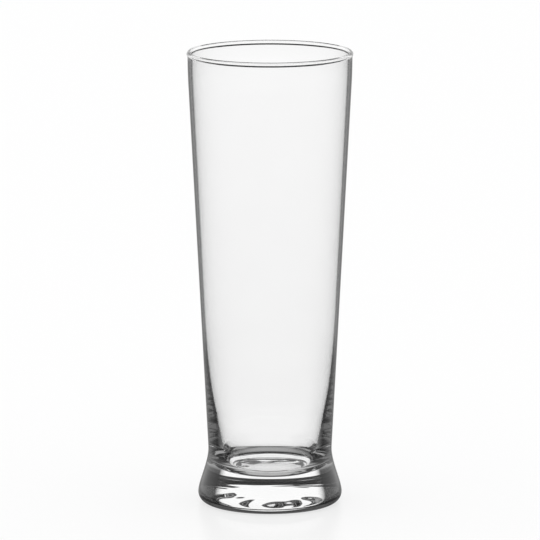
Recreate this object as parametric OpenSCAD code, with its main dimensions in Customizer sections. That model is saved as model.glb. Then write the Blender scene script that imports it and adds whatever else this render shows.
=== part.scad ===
// Tapered pilsner glass: a tall thin-walled bowl that thickens towards a heavy waist and floor,
// fused onto a pressed foot with a rounded heel and a hollowed underside.
// Millimetres, +Z up. The origin is the centre of the face that the glass stands on.

/* [Overall] */
// Height from the standing ring to the crest of the rim
height = 210; // [180:1:240]

/* [Mouth and rim] */
// Outside diameter of the wall just under the rim bead
mouth_d = 75.4; // [68:0.2:84]
// Thickness of the wall at the mouth
rim_wall = 1.3; // [1:0.1:2.2]
// How far the rim bead stands out from the wall, inside and outside
bead_proud = 0.4; // [0.1:0.05:0.6]
// Height of the rounded part of the rim bead, crest to widest ring
bead_h = 1.2; // [0.8:0.1:2]
// Radius of the slight curve that stands the taper upright below the rim
lip_curve_r = 250; // [150:10:500]

/* [Waist] */
// Outside diameter at the narrowest ring, above the flare of the foot
waist_d = 57; // [52:0.5:60]
// Height of the narrowest ring
waist_z = 25; // [22:0.5:30]
// Radius of the hollow curve from the narrowest ring up into the tapered wall
waist_curve_r = 32; // [15:1:60]

/* [Cavity] */
// Height of the middle of the cavity floor
floor_z = 13.6; // [11.4:0.2:17]
// Radius of the cavity at its floor corner
floor_r = 21.8; // [17:0.2:23]
// Radius of the rounded corner between the cavity's floor and its side
floor_corner_r = 7.8; // [2:0.2:10]
// How much higher the cavity floor is at its corner than in the middle
floor_dish = 0.4; // [0.2:0.1:1.8]
// Angle at which the cavity's side leans outwards as it leaves the floor
side_lean = 11; // [6:1:18]
// Height at which the wall starts to thicken towards the floor
thicken_z = 88; // [80:2:130]
// Thickness of the wall at that height
body_wall = 1; // [0.8:0.1:2]

/* [Foot] */
// Largest diameter of the flared foot
foot_d = 66.4; // [62:0.2:76]
// Radius of the rounded heel between the flare and the standing ring
heel_r = 4.7; // [3:0.1:6]
// Height of the face at which the bowl is fused to the foot
weld_z = 8.4; // [7:0.2:10]
// Width of the flat ring that the glass stands on
ring_w = 5; // [2:0.2:7]
// Rise of the hollowed underside at its centre
push_up_h = 2.6; // [1:0.1:5]
// Angle at which the hollow leaves the standing ring
push_up_lean = 22; // [14:1:34]

/* [Hidden] */

// Sides of the round forms, and steps along one curve of an outline
round_sides = 180;
curve_steps = 18;
clear_glass = [0.86, 0.92, 0.93, 0.45];

mouth_r = mouth_d / 2;
waist_r = waist_d / 2;
foot_r = foot_d / 2;
ring_outer_r = foot_r - heel_r;
ring_inner_r = ring_outer_r - ring_w;

// The bead is an ellipse about the middle of the wall, and crosses both faces of the wall.
bead_half_w = rim_wall / 2 + bead_proud;
bead_r = mouth_r - rim_wall / 2;
bead_z = height - bead_h;
bead_start = acos(rim_wall / 2 / bead_half_w);
wall_top_z = bead_z - bead_h * sin(bead_start);

// Taper of the outer wall: the one line that touches both the waist curve and the lip curve
waist_centre = [waist_r + waist_curve_r, waist_z];
lip_centre = [mouth_r - lip_curve_r, wall_top_z];
between = waist_centre - lip_centre;
taper = atan2(-between.y, between.x) - acos((waist_curve_r + lip_curve_r) / norm(between));

// How far a curve's handles reach along it, as shares of its height or its radius
waist_handle_share = 0.34;
heel_handle_share = 0.21;
side_top_share = 0.61;
side_foot_share = 0.32;
floor_handle_share = 0.59;
hollow_top_share = 0.5;
hollow_edge_share = 0.33;

// Points of an arc, and of a cubic curve with its ends at a and d and its handles at b and c
function arc(centre, size, from, to, steps = curve_steps) =
    [for (i = [0:steps]) let (t = from + (to - from) * i / steps)
        centre + [size.x * cos(t), size.y * sin(t)]];
function curve(a, b, c, d, steps = curve_steps) =
    [for (i = [0:steps]) let (t = i / steps, s = 1 - t)
        s * s * s * a + 3 * s * s * t * b + 3 * s * t * t * c + t * t * t * d];

// Radius of the outer wall at a height above the waist curve, and a step down at an angle
taper_foot = waist_centre + waist_curve_r * [-cos(taper), sin(taper)];
taper_top_z = lip_centre.y - lip_curve_r * sin(taper);
function lip_r(z) = lip_centre.x + sqrt(pow(lip_curve_r, 2) - pow(lip_centre.y - z, 2));
function wall_r(z) = z > taper_top_z ? lip_r(z) : taper_foot.x + (z - taper_foot.y) * tan(taper);
function down(angle, length) = length * [-sin(angle), -cos(angle)];

// Outer line from the heel up over the flare, the waist, the taper and the lip to the bead
flare_h = waist_z - heel_r;
function outer_line() = concat(
    arc([ring_outer_r, heel_r], [heel_r, heel_r], -90, 0),
    curve([foot_r, heel_r], [foot_r, heel_r + flare_h * heel_handle_share],
        [waist_r, waist_z - flare_h * waist_handle_share], [waist_r, waist_z]),
    arc(waist_centre, [waist_curve_r, waist_curve_r], 180, 180 - taper),
    arc(lip_centre, [lip_curve_r, lip_curve_r], -taper, 0),
    arc([bead_r, bead_z], [bead_half_w, bead_h], -bead_start, 180 + bead_start, 2 * curve_steps)
);

// Inner line from the bead down the wall, which thickens below thicken_z, to the cavity floor
corner_centre = [floor_r - floor_corner_r, floor_z + floor_dish + floor_corner_r];
side_top = [wall_r(thicken_z) - body_wall, thicken_z];
side_foot = corner_centre + floor_corner_r * [cos(side_lean), -sin(side_lean)];
side_drop = side_top.y - side_foot.y;
floor_reach = corner_centre.x * floor_handle_share;
upper_h = wall_top_z - thicken_z;
function inner_line() = concat(
    [for (i = [0:curve_steps]) let (t = i / curve_steps, z = wall_top_z - t * upper_h)
        [wall_r(z) - rim_wall + t * (rim_wall - body_wall), z]],
    curve(side_top, side_top + down(taper, side_drop * side_top_share),
        side_foot - down(side_lean, side_drop * side_foot_share), side_foot),
    arc(corner_centre, [floor_corner_r, floor_corner_r], -side_lean, -90),
    curve([corner_centre.x, floor_z + floor_dish], [floor_reach, floor_z + floor_dish],
        [floor_reach, floor_z], [0, floor_z])
);

// Underside from the axis outwards: the hollow, down to the inner edge of the flat standing ring
hollow_step = ring_inner_r * hollow_edge_share;
function under_line() =
    curve([0, push_up_h], [ring_inner_r * hollow_top_share, push_up_h],
        [ring_inner_r - hollow_step, hollow_step * tan(push_up_lean)], [ring_inner_r, 0]);

// Half section of the whole glass, and the part of the plane above the weld
module half_section() {
    polygon(concat(under_line(), outer_line(), inner_line()));
}

module above_weld() {
    translate([0, weld_z])
        square([foot_d + mouth_d, height]);
}

// Bowl: blown, with a fire-polished rim, a heavy waist and a floor of its own
module bowl() {
    color(clear_glass)
        rotate_extrude($fn = round_sides)
            intersection() {
                half_section();
                above_weld();
            }
}

// Foot: pressed, hollowed underneath, fused to the underside of the bowl at its flat top
module foot() {
    color(clear_glass)
        rotate_extrude($fn = round_sides)
            difference() {
                half_section();
                above_weld();
            }
}

bowl();
foot();
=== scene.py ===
import math

import bmesh
import bpy
from mathutils import Matrix, Vector
from mathutils.geometry import interpolate_bezier


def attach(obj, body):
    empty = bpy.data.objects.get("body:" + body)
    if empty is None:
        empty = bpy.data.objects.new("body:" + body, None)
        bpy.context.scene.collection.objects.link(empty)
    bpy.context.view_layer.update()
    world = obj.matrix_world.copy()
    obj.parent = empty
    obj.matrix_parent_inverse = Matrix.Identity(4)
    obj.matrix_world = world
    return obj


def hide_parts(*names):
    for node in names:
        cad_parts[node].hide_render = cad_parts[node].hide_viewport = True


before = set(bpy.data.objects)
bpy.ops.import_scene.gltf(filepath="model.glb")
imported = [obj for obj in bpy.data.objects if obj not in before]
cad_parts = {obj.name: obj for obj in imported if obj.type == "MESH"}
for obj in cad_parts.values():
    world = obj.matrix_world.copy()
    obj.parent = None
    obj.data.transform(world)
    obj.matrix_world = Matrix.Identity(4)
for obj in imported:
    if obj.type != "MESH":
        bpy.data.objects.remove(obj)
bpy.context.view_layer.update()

# Camera: it stands almost three metres off with a long lens, higher than the rim, and looks a
# little down at the glass, so the mouth and the foot show as flat ovals.
aim = Vector((0, 0, 0.105))
camera_distance = 2.75
camera_elevation = math.radians(10.28)
away = Vector((0, -math.cos(camera_elevation), math.sin(camera_elevation)))
lens = bpy.data.cameras.new("camera")
lens.sensor_width = 36
lens.lens = 398.6
lens.shift_y = 0.0136
lens.clip_end = 50
camera = bpy.data.objects.new("camera", lens)
camera.location = aim + away * camera_distance
camera.rotation_euler = (-away).to_track_quat("-Z", "Y").to_euler()
bpy.context.scene.collection.objects.link(camera)
bpy.context.scene.camera = camera
bpy.context.scene.view_settings.view_transform = "Standard"

# Studio floor: a smooth white table that runs out of the picture on all sides. It keeps the soft
# shadow and a faint mirror image of the foot. The glass doesn't see it: what it mirrors and lets
# through is the room's light alone.
table_reach = 4
table_white_share = 0.7
table_bm = bmesh.new()
bmesh.ops.create_grid(table_bm, x_segments=1, y_segments=1, size=table_reach)
table_mesh = bpy.data.meshes.new("table")
table_bm.to_mesh(table_mesh)
table_bm.free()
table = bpy.data.objects.new("table", table_mesh)
bpy.context.scene.collection.objects.link(table)
table.visible_transmission = False
table.visible_glossy = False


def add_node(owner, kind, sockets, **settings):
    """Adds a shader node. Each socket gets a fixed value, or is joined to another node's output."""
    node = owner.node_tree.nodes.new("ShaderNode" + kind)
    for setting, choice in settings.items():
        setattr(node, setting, choice)
    for socket, value in sockets.items():
        if isinstance(value, bpy.types.NodeSocket):
            owner.node_tree.links.new(value, node.inputs[socket])
        else:
            node.inputs[socket].default_value = value
    return node


def reckon(owner, operation, *terms):
    return add_node(owner, "Math", dict(enumerate(terms)), operation=operation).outputs[0]


table_finish = bpy.data.materials.new("white_table")
table_finish.use_nodes = True
table_nodes = table_finish.node_tree.nodes
table_gloss = table_nodes["Principled BSDF"]
table_gloss.inputs["Base Color"].default_value = (1, 1, 1, 1)
table_gloss.inputs["Roughness"].default_value = 0.25
table_gloss.inputs["Specular IOR Level"].default_value = 0.3
table_white = add_node(table_finish, "Emission", {"Strength": 1})
seen_directly = add_node(table_finish, "LightPath", {}).outputs["Is Camera Ray"]
white_share = reckon(table_finish, "MULTIPLY", seen_directly, table_white_share)
table_skin = add_node(table_finish, "MixShader",
                      {0: white_share, 1: table_gloss.outputs[0], 2: table_white.outputs[0]})
table_finish.node_tree.links.new(table_skin.outputs[0],
                                 table_nodes["Material Output"].inputs["Surface"])
table_mesh.materials.append(table_finish)

# Studio light: plain white from all sides for table and background. The glass sees a light that is
# the same at every bearing, so that it looks alike from all round. It changes with height above the
# horizon and with how often it is mirrored, which draws the bands in the thick foot.
room = bpy.data.worlds.new("studio")
bpy.context.scene.world = room
room.use_nodes = True
room.cycles.sampling_method = "NONE"
room.node_tree.nodes.clear()


def fade(owner, value, start, end, low=0, high=1, way="SMOOTHSTEP"):
    """Goes from low to high as the value goes from start to end, and stays level outside them."""
    sockets = {"Value": value, "From Min": start, "From Max": end, "To Min": low, "To Max": high}
    return add_node(owner, "MapRange", sockets, interpolation_type=way).outputs[0]


def blend(share, first, second):
    """The first where the share is 0, the second where it is 1."""
    left = reckon(room, "MULTIPLY", first, reckon(room, "SUBTRACT", 1, share))
    return reckon(room, "ADD", left, reckon(room, "MULTIPLY", second, share))


towards = add_node(room, "TexCoord", {}).outputs["Generated"]
upwards = add_node(room, "SeparateXYZ", {0: towards}).outputs["Z"]
elevation = reckon(room, "DEGREES", reckon(room, "ARCSINE", upwards))
rays = add_node(room, "LightPath", {}).outputs

# Straight through the glass: white from a little above the horizon down to where a view is steep,
# and nearly dark elsewhere but for a dim patch overhead. All fades are in degrees of elevation.
walls_end = (1, 3)
table_starts = (-60, -56)
overhead_starts = (60, 68)
table_and_walls = fade(room, elevation, *table_starts, low=0.03, high=1)
overhead = fade(room, elevation, *overhead_starts, low=0.02, high=0.3)
straight = blend(fade(room, elevation, *walls_end), table_and_walls, overhead)

# Mirrored in the glass: a bright ring about the horizon, dimmer along its lower edge, and a dim
# light from steeply below. Each further mirroring takes some of both away.
ring_starts = (-17, -12)
ring_brightens = (-8, -2)
ring_ends = (22, 30)
steep_ends = (-42, -32)
steepest_ends = (-55, -45)
unlit = 0.004
first_mirroring, last_mirroring = 1, 4
ring_below = reckon(room, "MULTIPLY", fade(room, elevation, *ring_starts),
                    fade(room, elevation, *ring_brightens, low=0.3, high=1))
ring = reckon(room, "MULTIPLY", ring_below, fade(room, elevation, *ring_ends, low=1, high=0))
steep = reckon(room, "ADD", fade(room, elevation, *steep_ends, low=0.4, high=0),
               fade(room, elevation, *steepest_ends, low=0.2, high=0))
lit = reckon(room, "ADD", unlit, reckon(room, "MAXIMUM", ring, steep))
mirrorings = rays["Glossy Depth"]
lost = fade(room, mirrorings, first_mirroring, last_mirroring, low=1, high=0.12)
mirrored = reckon(room, "MULTIPLY", lit, lost)

# Plain white is all that the table and the background get, and light off the outside of the glass
# gets a share of it.
outside_share = 0.2
in_glass = blend(reckon(room, "GREATER_THAN", mirrorings, 0.5), straight, mirrored)
outside = reckon(room, "LESS_THAN", rays["Transmission Depth"], 0.5)
all_plain = reckon(room, "MAXIMUM", rays["Is Camera Ray"], rays["Is Diffuse Ray"])
plain = reckon(room, "MAXIMUM", reckon(room, "MULTIPLY", outside, outside_share), all_plain)
sky = add_node(room, "Background", {"Color": blend(plain, in_glass, 1)})
add_node(room, "OutputWorld", {0: sky.outputs[0]})

# Light may cross the thick foot many times before it leaves it.
most_bounces = 24
cycles = bpy.context.scene.cycles
cycles.max_bounces = most_bounces
cycles.glossy_bounces = most_bounces
cycles.transmission_bounces = most_bounces
cycles.transparent_max_bounces = most_bounces

# Bowl: a gather of clear glass, blown into a tall tapered mould and turned as it cools, so that it
# is round and smooth. The rim is melted back to a rounded bead. Its thick floor is fused to the
# foot below, on a flat weld across the flare. Sizes are in millimetres, angles in radians.
mm = 0.001
height = 210
mouth_r = 37.7
rim_wall = 1.3
bead_proud = 0.37
bead_h = 1.2
lip_curve_r = 250
waist_r = 28.5
waist_z = 25
waist_curve_r = 32
floor_z = 13.6
floor_r = 21.8
floor_corner_r = 7.8
floor_dish = 0.4
side_lean = math.radians(11)
thicken_z = 88
body_wall = 1.0
foot_r = 33.2
heel_r = 4.7
weld_z = 8.4

# How far a curve's handles reach along it, as shares of its height or its radius
waist_handle_share = 0.34
heel_handle_share = 0.21
side_top_share = 0.61
side_foot_share = 0.32
floor_handle_share = 0.59

bead_half_w = rim_wall / 2 + bead_proud
bead_start = math.acos(rim_wall / 2 / bead_half_w)
bead_centre = Vector((mouth_r - rim_wall / 2, height - bead_h))
wall_top_z = height - bead_h - bead_h * math.sin(bead_start)

# The tapered wall is the one line that touches both the waist's curve and the lip's.
waist_centre = Vector((waist_r + waist_curve_r, waist_z))
lip_centre = Vector((mouth_r - lip_curve_r, wall_top_z))
between = waist_centre - lip_centre
lip_side = math.acos((waist_curve_r + lip_curve_r) / between.length)
taper = math.atan2(-between.y, between.x) - lip_side
taper_foot = waist_centre + waist_curve_r * Vector((-math.cos(taper), math.sin(taper)))
taper_top = lip_centre + lip_curve_r * Vector((math.cos(taper), -math.sin(taper)))

# Inside, the wall thins from the rim down to where it starts to thicken towards the floor.
thinned = (rim_wall - body_wall) * (taper_top.y - thicken_z) / (wall_top_z - thicken_z)
lip_inside = taper_top - Vector((body_wall + thinned, 0))
lip_third = (wall_top_z - taper_top.y) / 3
side_top_r = taper_foot.x + (thicken_z - taper_foot.y) * math.tan(taper) - body_wall
side_top = Vector((side_top_r, thicken_z))
corner = Vector((floor_r - floor_corner_r, floor_z + floor_dish + floor_corner_r))
side_foot = corner + floor_corner_r * Vector((math.cos(side_lean), -math.sin(side_lean)))
side_drop = thicken_z - side_foot.y
along_taper = Vector((math.sin(taper), math.cos(taper)))
along_lean = Vector((math.sin(side_lean), math.cos(side_lean)))
floor_reach = corner.x * floor_handle_share


def curve(start, start_handle, end_handle, end, dots):
    return interpolate_bezier(*map(Vector, (start, start_handle, end_handle, end)), dots)


def line_to(start, end, steps=1):
    return curve(start, start.lerp(end, 1 / 3), start.lerp(end, 2 / 3), end, steps + 1)


def arc(centre, wide, high, begin, end, steps):
    """An elliptic arc, drawn as one stroke with its two handles."""
    reach = 4 / 3 * math.tan((end - begin) / 4)
    a, d = (centre + Vector((wide * math.cos(t), high * math.sin(t))) for t in (begin, end))
    b = a + reach * Vector((-wide * math.sin(begin), high * math.cos(begin)))
    c = d - reach * Vector((-wide * math.sin(end), high * math.cos(end)))
    return curve(a, b, c, d, steps + 1)


# The flare runs through the weld, from the widest ring of the foot up to the waist.
flare_h = waist_z - heel_r
flare = curve((foot_r, heel_r), (foot_r, heel_r + flare_h * heel_handle_share),
              (waist_r, waist_z - flare_h * waist_handle_share), (waist_r, waist_z), dots=60)
bowl_strokes = [
    flare,
    # Outside: the waist, the taper and the lip, then over the rim bead
    arc(waist_centre, waist_curve_r, waist_curve_r, math.pi, math.pi - taper, steps=8),
    line_to(taper_foot, taper_top, steps=40),
    arc(lip_centre, lip_curve_r, lip_curve_r, -taper, 0, steps=16),
    arc(bead_centre, bead_half_w, bead_h, -bead_start, math.pi / 2, steps=20),
    arc(bead_centre, bead_half_w, bead_h, math.pi / 2, math.pi + bead_start, steps=20),
    # Inside: the lip, the thin wall, the thickening side, the floor's corner and the floor
    curve((mouth_r - rim_wall, wall_top_z), (mouth_r - rim_wall, wall_top_z - lip_third),
          lip_inside + lip_third * Vector((math.tan(taper), 1)), lip_inside, dots=17),
    line_to(lip_inside, side_top, steps=40),
    curve(side_top, side_top - side_drop * side_top_share * along_taper,
          side_foot + side_drop * side_foot_share * along_lean, side_foot, dots=60),
    arc(corner, floor_corner_r, floor_corner_r, -side_lean, -math.pi / 2, steps=16),
    curve((corner.x, floor_z + floor_dish), (floor_reach, floor_z + floor_dish),
          (floor_reach, floor_z), (0, floor_z), dots=40),
]


def turn_glass(name, strokes, keep):
    """Joins the strokes, cuts them at the weld, and spins the upper (1) or lower (-1) part."""
    stroke_gap, slice_gap, flat_gap = 5e-6, 1e-6, 1e-7
    slices, steps = 16, 16
    full_turn = 2 * math.pi
    crease = math.radians(20)
    glass_slot, weld_slot = 0, 1
    bm = bmesh.new()
    for stroke in strokes:
        dots = [bm.verts.new((dot.x * mm, 0, dot.y * mm)) for dot in stroke]
        for start, end in zip(dots, dots[1:]):
            bm.edges.new((start, end))
    bmesh.ops.remove_doubles(bm, verts=bm.verts, dist=stroke_gap)

    weld_middle = (0, 0, weld_z * mm)
    bmesh.ops.bisect_plane(bm, geom=bm.verts[:] + bm.edges[:], plane_co=weld_middle,
                           plane_no=(0, 0, -keep), clear_outer=True)
    weld_edge = max((v for v in bm.verts if abs(v.co.z - weld_z * mm) < flat_gap),
                    key=lambda v: v.co.x)
    bm.edges.new((weld_edge, bm.verts.new(weld_middle)))

    # One slice is spun, and then copied round.
    bmesh.ops.spin(bm, geom=bm.verts[:] + bm.edges[:], axis=(0, 0, 1), cent=(0, 0, 0),
                   angle=full_turn / slices, steps=steps)
    first = bm.verts[:] + bm.edges[:] + bm.faces[:]
    for number in range(1, slices):
        copy = bmesh.ops.duplicate(bm, geom=first)["geom"]
        turned = [part for part in copy if isinstance(part, bmesh.types.BMVert)]
        turn = Matrix.Rotation(full_turn * number / slices, 3, "Z")
        bmesh.ops.rotate(bm, verts=turned, cent=(0, 0, 0), matrix=turn)
    bmesh.ops.remove_doubles(bm, verts=bm.verts, dist=slice_gap)
    bmesh.ops.recalc_face_normals(bm, faces=bm.faces)

    for face in bm.faces:
        face.smooth = True
        on_weld = all(abs(v.co.z - weld_z * mm) < flat_gap for v in face.verts)
        face.material_index = weld_slot if on_weld else glass_slot
    for edge in bm.edges:
        edge.smooth = edge.calc_face_angle(0) < crease
    mesh = bpy.data.meshes.new(name)
    bm.to_mesh(mesh)
    bm.free()
    piece = bpy.data.objects.new(name, mesh)
    bpy.context.scene.collection.objects.link(piece)
    return piece


def across_axis(material):
    """Where a point of the glass lies round the axis, with its height left out."""
    place = add_node(material, "TexCoord", {}).outputs["Object"]
    flat = add_node(material, "VectorMath", {0: place, 1: (1, 1, 0)}, operation="MULTIPLY")
    return flat.outputs[0]


def from_axis(material):
    """How far a point of the glass lies from the axis, in metres."""
    radius = add_node(material, "VectorMath", {0: across_axis(material)}, operation="LENGTH")
    return radius.outputs["Value"]


# Clear glass has the faintest drift in its thickness, which bends what is seen through it, and a
# breath of haze where fingers and cloths have been. Its colour is painted near black where it turns
# away from the viewer, as painted shade for dark edges, much sooner on the foot, but not near the
# axis or on the rim. Its sizes are in metres.
def clear_glass(name, drift_size, drift_depth):
    clear, faint_grey, edge_shade_black = ((tone, tone, tone, 1) for tone in (1, 0.985, 0.002))
    haze = 0.02
    haze_clouds = (0.55, 0.8)
    outline_turned = (0.72, 0.82)
    flank_turned = (0.24, 0.36)
    flank_z = (0.025, 0.018)
    off_axis_r = (0.0245, 0.026)
    under_rim_z = (0.2085, 0.206)
    material = bpy.data.materials.new(name)
    material.use_nodes = True
    glass = material.node_tree.nodes["Principled BSDF"]
    glass.inputs["IOR"].default_value = 1.5
    glass.inputs["Transmission Weight"].default_value = 1

    place = add_node(material, "TexCoord", {}).outputs["Object"]
    smears = add_node(material, "TexNoise", {"Vector": place, "Scale": 60, "Detail": 3})
    cloud = smears.outputs["Fac"]
    rough = fade(material, cloud, *haze_clouds, high=haze, way="LINEAR")
    tint = add_node(material, "Mix", {"Factor": cloud, "A": faint_grey, "B": clear},
                    data_type="RGBA")
    stretch = add_node(material, "Mapping", {"Vector": place, "Scale": (1, 1, 0.3)})
    drift = add_node(material, "TexNoise",
                     {"Vector": stretch.outputs[0], "Scale": drift_size, "Detail": 1})
    swell = add_node(material, "Bump",
                     {"Strength": 1, "Distance": drift_depth, "Height": drift.outputs["Fac"]})

    # Painted shade: the colour is mixed towards near black on the flanks of the foot and along the
    # outline.
    turned_away = add_node(material, "LayerWeight", {}).outputs["Facing"]
    up = add_node(material, "SeparateXYZ", {0: place}).outputs["Z"]
    flank = reckon(material, "MULTIPLY", fade(material, turned_away, *flank_turned),
                   fade(material, up, *flank_z))
    edge = reckon(material, "MAXIMUM", flank, fade(material, turned_away, *outline_turned))
    off_axis = reckon(material, "MULTIPLY", edge, fade(material, from_axis(material), *off_axis_r))
    painted_edge_shade = reckon(material, "MULTIPLY", off_axis, fade(material, up, *under_rim_z))
    colour = add_node(material, "Mix",
                      {"Factor": painted_edge_shade, "A": tint.outputs["Result"], "B": edge_shade_black},
                      data_type="RGBA")

    links = material.node_tree.links
    links.new(colour.outputs["Result"], glass.inputs["Base Color"])
    links.new(rough, glass.inputs["Roughness"])
    links.new(swell.outputs[0], glass.inputs["Normal"])
    return material


# Where bowl and foot are fused no surface is left: the two weld faces let all light through.
fused = bpy.data.materials.new("fused_joint")
fused.use_nodes = True
fused.node_tree.nodes["Principled BSDF"].inputs["Alpha"].default_value = 0

bowl = turn_glass("blown_bowl", bowl_strokes, 1)
bowl.data.materials.append(clear_glass("blown_glass", drift_size=40, drift_depth=0.000004))
bowl.data.materials.append(fused)
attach(bowl, "root")
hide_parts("bowl")

# Foot: a disc of the same clear glass, pressed under the bowl while both are hot. It stands on a
# narrow flat ring inside a rounded heel. The hollow in the ring has set in soft waves, and its
# colour is painted grey there as painted shade, for the shadow under the glass. Sizes are in
# millimetres, and those of the hollow's surface in metres.
ring_w = 5
push_up_h = 2.6
push_up_lean = math.radians(22)
hollow_top_share = 0.5
hollow_edge_share = 0.33
skin_r = 0.0245
skin_fade = 0.001
waves_from, waves_full = skin_r * 0.42, skin_r * 0.52
wave_depth = 0.002
hollow_shade_grey = (0.54, 0.54, 0.54, 1)

ring_out = foot_r - heel_r
ring_in = ring_out - ring_w
hollow_edge = ring_in * hollow_edge_share
foot_strokes = [
    # The hollow, the flat ring, the rounded heel, and the flare up to the weld
    curve((0, push_up_h), (ring_in * hollow_top_share, push_up_h),
          (ring_in - hollow_edge, hollow_edge * math.tan(push_up_lean)), (ring_in, 0), dots=60),
    line_to(Vector((ring_in, 0)), Vector((ring_out, 0))),
    arc(Vector((ring_out, heel_r)), heel_r, heel_r, -math.pi / 2, 0, steps=24),
    flare,
]

pressed = clear_glass("pressed_glass", drift_size=90, drift_depth=0.00002)
pressed_shader = pressed.node_tree.nodes["Principled BSDF"]
colour_socket = pressed_shader.inputs["Base Color"]
normal_socket = pressed_shader.inputs["Normal"]
hollow_radius = from_axis(pressed)
in_hollow = fade(pressed, hollow_radius, skin_r, skin_r - skin_fade, way="LINEAR")
off_middle = fade(pressed, hollow_radius, waves_from, waves_full, way="LINEAR")
wave = add_node(pressed, "TexNoise",
                {"Vector": across_axis(pressed), "Scale": 70, "Detail": 0, "Distortion": 1.2})
ripple = add_node(pressed, "Bump",
                  {"Strength": reckon(pressed, "MULTIPLY", in_hollow, off_middle),
                   "Distance": wave_depth, "Height": wave.outputs["Fac"],
                   "Normal": normal_socket.links[0].from_socket})
# Painted shade: the hollow's colour is mixed towards grey.
hollow_painted_shade = add_node(pressed, "Mix",
                {"Factor": in_hollow, "A": colour_socket.links[0].from_socket, "B": hollow_shade_grey},
                data_type="RGBA")
pressed.node_tree.links.new(hollow_painted_shade.outputs["Result"], colour_socket)
pressed.node_tree.links.new(ripple.outputs[0], normal_socket)

foot = turn_glass("pressed_foot", foot_strokes, -1)
foot.data.materials.append(pressed)
foot.data.materials.append(fused)
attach(foot, "root")
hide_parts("foot")
